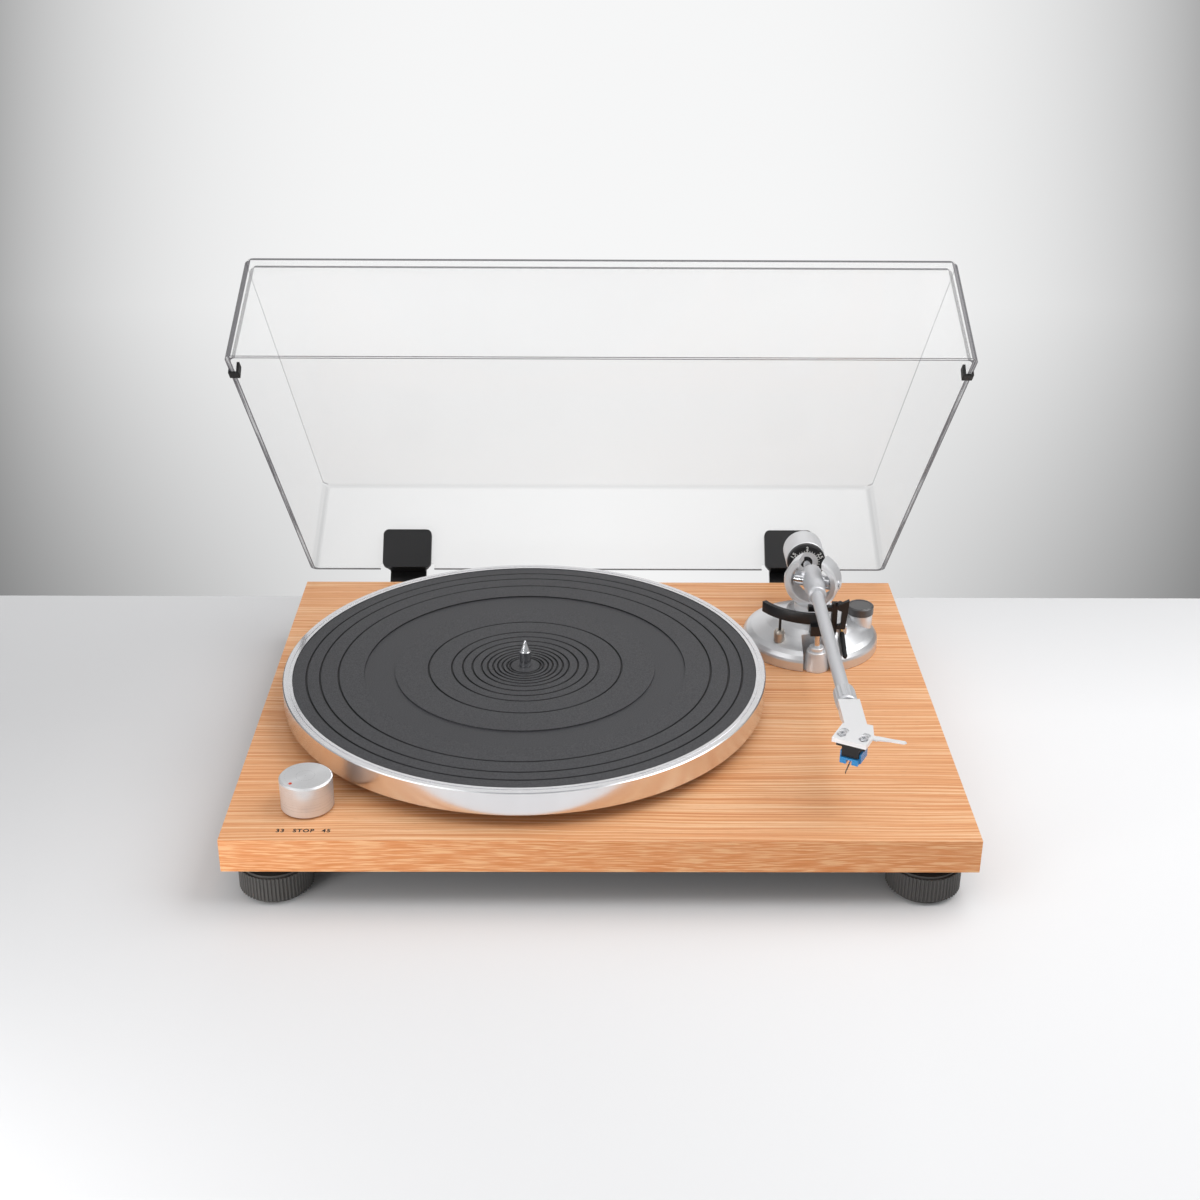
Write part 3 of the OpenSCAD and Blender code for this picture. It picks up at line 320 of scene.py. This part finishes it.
def clear_plastic():
    """Clear acrylic sheet: nearly clear panels, with painted shade as grey lines at its corners and folds,
    and its sawn rim grey.
    """
    n = Nodes("clear_acrylic")
    # point and face normal turned back to the closed cover, whose panels face along the axes
    hinge = deck(0, HINGE_Y, -HINGE_DROP)
    place = n.add("ShaderNodeVectorRotate", rotation_type="X_AXIS")
    place.inputs["Center"].default_value = hinge
    place.inputs["Angle"].default_value = LID_OPEN
    n.link(n.coord, place.inputs["Vector"])
    spot = n.add("ShaderNodeSeparateXYZ")
    n.link(place.outputs[0], spot.inputs[0])
    geo = n.add("ShaderNodeNewGeometry")
    local = n.add("ShaderNodeVectorTransform", vector_type="NORMAL", convert_from="WORLD",
                  convert_to="OBJECT")
    n.link(geo.outputs["True Normal"], local.inputs[0])
    turn = n.add("ShaderNodeVectorRotate", rotation_type="X_AXIS")
    turn.inputs["Angle"].default_value = LID_OPEN
    n.link(local.outputs[0], turn.inputs["Vector"])
    face = n.add("ShaderNodeSeparateXYZ")
    n.link(turn.outputs[0], face.inputs[0])
    nx = n.math("ABSOLUTE", face.outputs[0])
    nz = n.math("ABSOLUTE", face.outputs[2])
    x, y, z = spot.outputs
    height = n.math("SUBTRACT", z, hinge.z + LID_RIM)
    at_rim = n.math("MULTIPLY", n.math("LESS_THAN", height, 0.0003), n.math("GREATER_THAN", nz, 0.9))
    front = n.math("LESS_THAN", y, FRONT_WALL_Y + 0.1)
    # upright corners: painted shade, a dark band at the front, a pale one at the back, on the outer skin
    # only
    out = n.math("MULTIPLY", n.math("MULTIPLY", face.outputs[0], x),
                 n.math("SUBTRACT", 1, n.math("MULTIPLY", geo.outputs["Backfacing"], 2)))
    turning = n.math("MULTIPLY", n.math("GREATER_THAN", nx, 0.14), n.math("LESS_THAN", nx, 0.98))
    corner = n.math("MULTIPLY", turning, n.math("MULTIPLY", n.math("LESS_THAN", nz, 0.25),
                                                n.math("LESS_THAN", height, CORNER_TOP)))
    depth = n.math("ADD", 0.5, n.math("MULTIPLY", n.math("GREATER_THAN", out, 0), 0.3))
    corner_share = n.math("MULTIPLY", corner, n.math("ADD", 0.02, n.math("MULTIPLY", front, depth)))
    # folds to the top panel: one narrow line of painted shade on each skin
    slope = n.math("MULTIPLY", n.math("GREATER_THAN", nz, 0.3), n.math("LESS_THAN", nz, 0.6))
    high_skin = n.math("MULTIPLY", n.math("GREATER_THAN", height, FOLD_LINE_FROM),
                       n.math("LESS_THAN", height, FOLD_LINE_TO))
    on_side = n.math("GREATER_THAN", nx, 0.3)
    side_line = n.math("MULTIPLY", n.math("MULTIPLY", slope, high_skin), n.math("MULTIPLY", on_side, 0.4))
    wide = n.math("MULTIPLY", n.math("GREATER_THAN", nz, 0.12), n.math("LESS_THAN", nz, 0.9))
    end_line = n.math("MULTIPLY", n.math("MULTIPLY", wide, n.math("SUBTRACT", 1, on_side)),
                      n.math("MULTIPLY", n.math("GREATER_THAN", height, FOLD_FROM),
                             n.math("ADD", 0.07, n.math("MULTIPLY", front, 0.75))))
    line_share = n.math("MAXIMUM", side_line, end_line)
    line = n.math("GREATER_THAN", line_share, 0)
    # the rim has painted shade along both its arrises, is streaked between them like a sawn edge, and is
    # clearer at the front
    rim_mid_x = n.math("ABSOLUTE", n.math("SUBTRACT", n.math("ABSOLUTE", x), SIDE_WALL_X))
    rim_mid_y = n.math("ABSOLUTE", n.math("SUBTRACT", y, FRONT_WALL_Y))
    at_side = n.math("LESS_THAN", rim_mid_x, 0.0018)
    across = n.math("ADD", n.math("MULTIPLY", rim_mid_x, at_side),
                    n.math("MULTIPLY", rim_mid_y, n.math("SUBTRACT", 1, at_side)))
    arris = n.remap(across, 0.0004, 0.0009, 0.0, 1.0)
    streak = n.noise(n.scaled((500, 16, 16)), 1, 3, 0.6)
    fill = n.math("ADD", n.math("MULTIPLY", at_side, n.remap(streak, 0.4, 0.6, 0.35, 0.9)), 0.04)
    rim_share = n.math("MULTIPLY", at_rim, n.math("MAXIMUM", n.math("MULTIPLY", arris, 0.9), fill))
    haze = n.noise(n.coord, 6, 3)
    veil = n.remap(haze, 0.3, 0.7, 0.095, 0.115)
    shade_and_saw_lines = n.math("MAXIMUM", n.math("MAXIMUM", corner_share, line_share), rim_share)
    clear_share = n.math("MAXIMUM", shade_and_saw_lines, veil)
    # the grey of these lines is painted shade, and on the rim also the sawn edge's own grey
    shade_and_saw_mask = n.math("MAXIMUM", at_rim, n.math("MAXIMUM", corner, line))
    colour = n.mix(shade_and_saw_mask, (0.93, 0.935, 0.94, 1), lin(76, 73, 79))
    n.set(Base_Color=colour, Alpha=clear_share, Roughness=n.remap(haze, 0.3, 0.7, 0.03, 0.06))
    n.bsdf.inputs["IOR"].default_value = 1.49
    n.bsdf.inputs["Specular IOR Level"].default_value = 0.4
    return n.mat


def stylus_paint():
    """Blue moulding, with the needle's metal below it."""
    n = Nodes("stylus_blue")
    s = n.add("ShaderNodeSeparateXYZ")
    n.link(n.coord, s.inputs[0])
    needle = n.math("LESS_THAN", s.outputs[2], plinth_high.z + 0.0318)
    fine = n.noise(n.coord, 1200, 2)
    colour = n.mix(fine, lin(36, 128, 196), lin(56, 156, 220))
    n.set(Base_Color=n.mix(needle, colour, lin(120, 112, 100)), Metallic=n.math("MULTIPLY", needle, 0.9),
          Roughness=n.remap(fine, 0.3, 0.7, 0.24, 0.34), Normal=n.bump(fine, 0.08, 0.00003))
    return n.mat


def board():
    """Green solder mask with lighter copper runs under it."""
    n = Nodes("circuit_board")
    runs = n.noise(n.scaled((300, 60, 1)), 1, 1)
    colour = n.mix(n.math("GREATER_THAN", runs, 0.53), lin(14, 74, 42), lin(26, 104, 60))
    n.set(Base_Color=colour, Roughness=n.remap(runs, 0.4, 0.6, 0.3, 0.4), Normal=n.bump(runs, 0.3, 0.00005))
    return n.mat


PLATTER_METAL = turned("turned_aluminium", lin(236, 236, 238), platter_mid, rough=0.19, streak=0.3,
                       aniso=0.85)
SATIN = grainy("satin_aluminium", lin(232, 233, 235), dark=0.95, rough=0.34, rough_to=0.44, metal=0.55,
               grain=1600, bump=0.2, depth=0.00003)
TUBE = grainy("blasted_tube", lin(214, 215, 218), dark=0.95, rough=0.38, rough_to=0.48, metal=0.5,
              grain=2200, bump=0.3, depth=0.00004)
BASE = grainy("base_satin", lin(226, 227, 229), dark=0.96, rough=0.27, rough_to=0.36, metal=0.8,
              grain=1500, bump=0.12, depth=0.00003)
SHELL = grainy("headshell_silver", lin(240, 240, 241), dark=0.96, rough=0.36, rough_to=0.46, metal=0.5,
               grain=1600, bump=0.15, depth=0.00003)
KNOB = turned("turned_knob", lin(218, 218, 219), knob_mid, rough=0.3, metal=0.6, lines=3400,
              streak=0.35, aniso=0.9, bump=0.2, dark=0.93)
STEEL = grainy("bright_steel", lin(226, 227, 230), dark=0.92, rough=0.12, rough_to=0.22, metal=1.0,
               grain=800, bump=0.05, depth=0.00002)
MOTOR = grainy("motor_steel", lin(150, 152, 156), dark=0.85, rough=0.35, metal=1.0, grain=600, bump=0.1)
BRASS = grainy("brass", lin(190, 150, 90), dark=0.85, rough=0.22, metal=1.0, grain=900, bump=0.08)
BUSH = grainy("satin_bush", lin(196, 190, 182), dark=0.9, rough=0.3, metal=0.85, grain=1200, bump=0.1)
BLACK = grainy("black_plastic", lin(25, 25, 27), dark=0.7, rough=0.34, rough_to=0.46, grain=1800,
               bump=0.2, spec=0.42)
FOOT = grainy("foot_plastic", lin(76, 74, 72), dark=0.8, rough=0.36, rough_to=0.5, grain=1500,
              bump=0.25, spec=0.5)
DIAL = grainy("knob_plastic", lin(74, 73, 74), dark=0.8, rough=0.26, rough_to=0.36, grain=1600,
              bump=0.15, spec=0.8)
RUBBER = grainy("black_rubber", lin(26, 26, 27), dark=0.75, rough=0.55, rough_to=0.7, grain=1400,
                bump=0.3, spec=0.35)
BOLT = grainy("black_screws", lin(48, 48, 50), dark=0.8, rough=0.35, metal=0.8, grain=900, bump=0.1)
IVORY = grainy("insert_plastic", lin(225, 222, 212), dark=0.94, rough=0.3, grain=900, bump=0.1)
RED = grainy("mark_paint", lin(214, 62, 26), dark=0.85, rough=0.35, grain=1500, bump=0.1)
INK = grainy("black_ink", lin(20, 18, 18), dark=0.8, rough=0.6, grain=1200, bump=0.1)
WHITE_INK = grainy("white_ink", lin(225, 225, 222), dark=0.92, rough=0.5, grain=1200, bump=0.1)

BY_NODE = {
    "plinth": veneer(), "platter": PLATTER_METAL, "platter_mat": rubber_mat(), "dust_cover": clear_plastic(),
    "circuit_board": board(), "motor": MOTOR, "knob_mark": RED, "stylus": stylus_paint(), "lift_guide": BUSH,
    "tonearm_base": BASE, "arm_tube": TUBE, "arm_hub": TUBE, "headshell_collar": TUBE,
    "headshell": SHELL, "finger_lift": SHELL, "speed_knob": KNOB, "counterweight": SATIN,
    "gimbal_ring": SATIN, "lift_cylinder": SATIN, "bearing_housing": SATIN, "antiskate_knob": DIAL,
    "rca_inserts": IVORY, "case_screws": BOLT, "lid_bumpers": RUBBER, "lever_sleeve": RUBBER,
    "drive_belt": RUBBER,
}
for names, material in (
    (("spindle", "tilt_screws", "tilt_shaft", "counterweight_shaft", "motor_shaft", "deck_screws",
      "cartridge_screws", "hinge_pins", "ground_terminal", "lift_piston"), STEEL),
    (("motor_pulley", "rca_jacks", "cue_lever", "bearing_bush", "yaw_bearing"), BRASS),
    (("foot_front_left", "foot_front_right", "foot_rear_left", "foot_rear_right"), FOOT),
):
    for name in names:
        BY_NODE[name] = material

for name, obj in nodes.items():
    obj.data.materials.clear()
    obj.data.materials.append(BY_NODE.get(name, BLACK))

# ---- softened edges ---------------------------------------------------------------------
for name, width in (("plinth", 0.45), ("headshell", 0.3), ("cartridge", 0.35), ("hinge_covers", 0.7),
                    ("hinge_brackets", 0.4), ("rest_clip", 0.35), ("arm_rest", 0.35), ("lid_bumpers", 0.45),
                    ("lift_arc", 0.35), ("stylus", 0.2), ("finger_lift", 0.2)):
    weld = nodes[name].modifiers.new("join", "WELD")
    weld.merge_threshold = 0.00001
    bevel = nodes[name].modifiers.new("edges", "BEVEL")
    bevel.width = width * MM
    bevel.segments = 2
    bevel.limit_method = "ANGLE"
    bevel.angle_limit = math.radians(50)
    bevel.use_clamp_overlap = True

# ---- labels -----------------------------------------------------------------------------


def label(name, text, height, material, body, place, spacing=1.0, thick=0.04, bold=0.0):
    """Printed text as a thin mesh. place is its matrix: X along the text, Z out of the surface."""
    curve = bpy.data.curves.new(name, "FONT")
    curve.body = text
    curve.size = height * MM / 0.69
    curve.space_character = spacing
    curve.align_x, curve.align_y = "CENTER", "CENTER"
    curve.extrude = thick * MM
    curve.offset = bold * MM
    curve.resolution_u = 4
    temp = bpy.data.objects.new(name + "_t", curve)
    scene.collection.objects.link(temp)
    bpy.context.view_layer.update()
    mesh = bpy.data.meshes.new_from_object(temp.evaluated_get(bpy.context.evaluated_depsgraph_get()))
    bpy.data.objects.remove(temp)
    o = bpy.data.objects.new(name, mesh)
    scene.collection.objects.link(o)
    o.matrix_world = place
    mesh.materials.clear()
    mesh.materials.append(material)
    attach(o, body)
    return o


# speed labels on the deck, in front of the knob
LABEL_Y = 9.5
for word, x in (("33", -177.2), ("STOP", -164.3), ("45", -151.7)):
    place = Matrix.Translation(deck(x, LABEL_Y, 0.02))
    label("label_" + word, word, 3.0, INK, "chassis", place, 1.2, bold=0.13)

# Force dial: six numbers near its edge and a ring of short ticks inside them, read from the front.
dial_low, dial_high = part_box("force_dial")
dial_mid = (dial_low + dial_high) / 2
DIAL_FACE = dial_low.y - 0.02 * MM
NUMBER_R, TICK_R, TICKS, TICK_THICK = 10.5, 8.2, 30, 0.05 * MM


def on_dial(angle, radius):
    """A place on the dial's front face: X to the right seen from the front, Z out of the face."""
    a = math.radians(angle)
    out = Vector((math.sin(a), 0, math.cos(a)))
    side = Vector((math.cos(a), 0, -math.sin(a)))
    face = Matrix((side, out, Vector((0, -1, 0)))).transposed().to_4x4()
    return Matrix.Translation(Vector((dial_mid.x, DIAL_FACE, dial_mid.z)) + out * radius * MM) @ face


for i, word in enumerate(("2", "2.5", "0", ".5", "1", "1.5")):
    label("dial_" + word.replace(".", "_"), word, 2.5, WHITE_INK, "force_dial",
          on_dial(60 * i, NUMBER_R), bold=0.09)
ticks = bmesh.new()
for i in range(TICKS):
    length, wide = (0.9, 0.2) if i % 5 else (1.05, 0.28)
    m = on_dial(360 / TICKS * i, TICK_R)
    corners = [ticks.verts.new(m @ Vector((sx * wide * MM, sy * length * MM, 0.00004)))
               for sx, sy in ((-1, -1), (1, -1), (1, 1), (-1, 1))]
    top = ticks.faces.new(corners)
    solid = bmesh.ops.extrude_face_region(ticks, geom=[top])
    raised = [v for v in solid["geom"] if isinstance(v, bmesh.types.BMVert)]
    bmesh.ops.translate(ticks, vec=(0, TICK_THICK, 0), verts=raised)
bmesh.ops.recalc_face_normals(ticks, faces=ticks.faces)
tick_mesh = bpy.data.meshes.new("dial_ticks")
ticks.to_mesh(tick_mesh)
tick_mesh.materials.append(WHITE_INK)
tick_ring = bpy.data.objects.new("dial_ticks", tick_mesh)
scene.collection.objects.link(tick_ring)
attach(tick_ring, "force_dial")

# ---- floor and backdrop -----------------------------------------------------------------
# half the width of the floor, its rear edge behind the part and its thickness there
REACH, FLOOR_EDGE, FLOOR_T = 4, 0.204, 0.03
CAMERA_AT = Vector((-7.545, -981.05, 571.95)) * MM
PITCH, YAW, ROLL = (math.radians(a) for a in (25.863, 0.459, 0.341))
LENS, SENSOR = 51.26, 36.0

forward = Vector((math.sin(YAW) * math.cos(PITCH), math.cos(YAW) * math.cos(PITCH), -math.sin(PITCH)))
level = Vector((math.cos(YAW), -math.sin(YAW), 0))
upward = level.cross(forward)
right = level * math.cos(ROLL) + upward * math.sin(ROLL)
up = -level * math.sin(ROLL) + upward * math.cos(ROLL)
facing = Matrix((right, up, -forward)).transposed().to_4x4()

camera = bpy.data.objects.new("camera", bpy.data.cameras.new("camera"))
scene.collection.objects.link(camera)
camera.data.lens, camera.data.sensor_width = LENS, SENSOR
camera.data.sensor_fit = "HORIZONTAL"
camera.matrix_world = Matrix.Translation(CAMERA_AT) @ facing
scene.camera = camera


def plane(name, corners, material):
    mesh = bpy.data.meshes.new(name)
    mesh.from_pydata([tuple(c) for c in corners], [], [(0, 1, 2, 3)])
    mesh.materials.append(material)
    o = bpy.data.objects.new(name, mesh)
    scene.collection.objects.link(o)
    return o


def floor_paint():
    n = Nodes("floor_paint")
    s = n.add("ShaderNodeSeparateXYZ")
    n.link(n.coord, s.inputs[0])
    x, y, z = s.outputs
    mottle = n.noise(n.coord, 3, 2)
    # painted shade: the floor is darker to the left and towards its back edge
    left = n.remap(x, -0.5, 0.15, 0.0, 1.0)
    colour = n.mix(left, lin(208, 208, 209), lin(239, 239, 240))
    colour = n.mix(n.remap(y, 0.02, 0.21, 0.0, 1.0), colour, lin(221, 221, 222))
    colour = n.mix(n.math("MULTIPLY", mottle, 0.06), colour, lin(225, 225, 226))
    n.set(Base_Color=colour, Roughness=0.6)
    n.bsdf.inputs["Specular IOR Level"].default_value = 0.15
    return n.mat


def backdrop_paint(reach):
    """A glowing backdrop with its light painted: white in the middle and greyer to the sides, most so low
    down.
    """
    n = Nodes("backdrop_paint")
    s = n.add("ShaderNodeSeparateXYZ")
    n.link(n.coord, s.inputs[0])
    x, y, z = s.outputs
    side = n.math("MULTIPLY", n.math("ABSOLUTE", x), 1.0 / reach)
    low = n.remap(y, 0.5 * reach, 0.0, 0.0, 1.0)
    high_fall = n.math("MULTIPLY", n.math("POWER", side, 3.9), 0.47)
    low_fall = n.math("MULTIPLY", n.math("POWER", side, 1.45), 0.66)
    fall = n.math("ADD", n.math("MULTIPLY", high_fall, n.math("SUBTRACT", 1, low)),
                  n.math("MULTIPLY", low_fall, low))
    level_ = n.math("MAXIMUM", n.math("SUBTRACT", 0.93, fall), 0.16)
    glow = n.add("ShaderNodeEmission")
    n.link(level_, glow.inputs["Strength"])
    glow.inputs["Color"].default_value = (0.995, 0.998, 1.0, 1)
    n.link(glow.outputs[0], n.out.inputs[0])
    return n.mat


plane("floor", [(-REACH, -REACH, 0), (REACH, -REACH, 0), (REACH, FLOOR_EDGE, 0), (-REACH, FLOOR_EDGE, 0)],
      floor_paint())
plane("floor_front_edge", [(-REACH, FLOOR_EDGE, 0), (REACH, FLOOR_EDGE, 0),
                           (REACH, FLOOR_EDGE, -FLOOR_T), (-REACH, FLOOR_EDGE, -FLOOR_T)], floor_paint())
BACK_AT = 2.3
half_view = BACK_AT * SENSOR / 2 / LENS
backdrop = plane("backdrop", [(-REACH, -2, 0), (REACH, -2, 0), (REACH, 3, 0), (-REACH, 3, 0)],
                 backdrop_paint(half_view * 590 / 600))
backdrop.matrix_world = Matrix.Translation(CAMERA_AT + forward * BACK_AT) @ facing

# ---- light ------------------------------------------------------------------------------
world = bpy.data.worlds.new("studio")
scene.world = world
world.use_nodes = True
world.node_tree.nodes["Background"].inputs[0].default_value = (0.98, 0.99, 1.0, 1)
world.node_tree.nodes["Background"].inputs[1].default_value = 0.41


def soft_box(name, place, target, width, height, power):
    data = bpy.data.lights.new(name, "AREA")
    data.shape, data.size, data.size_y, data.energy = "RECTANGLE", width, height, power
    o = bpy.data.objects.new(name, data)
    scene.collection.objects.link(o)
    o.location = place
    o.rotation_mode = "QUATERNION"
    o.rotation_quaternion = (Vector(target) - Vector(place)).to_track_quat("-Z", "Y")
    return o


soft_box("key", (0.85, -0.02, 1.15), (0.05, -0.05, 0.05), 1.3, 1.1, 12)
soft_box("top", (0.15, -0.15, 1.7), (0, 0, 0), 1.6, 1.2, 5)
soft_box("left", (-0.85, -0.55, 1.1), (0.1, 0, 0.08), 0.8, 0.8, 2.4)
soft_box("front", (-0.5, -0.6, 0.1), (-0.14, -0.2, 0.03), 0.26, 0.16, 2.1)
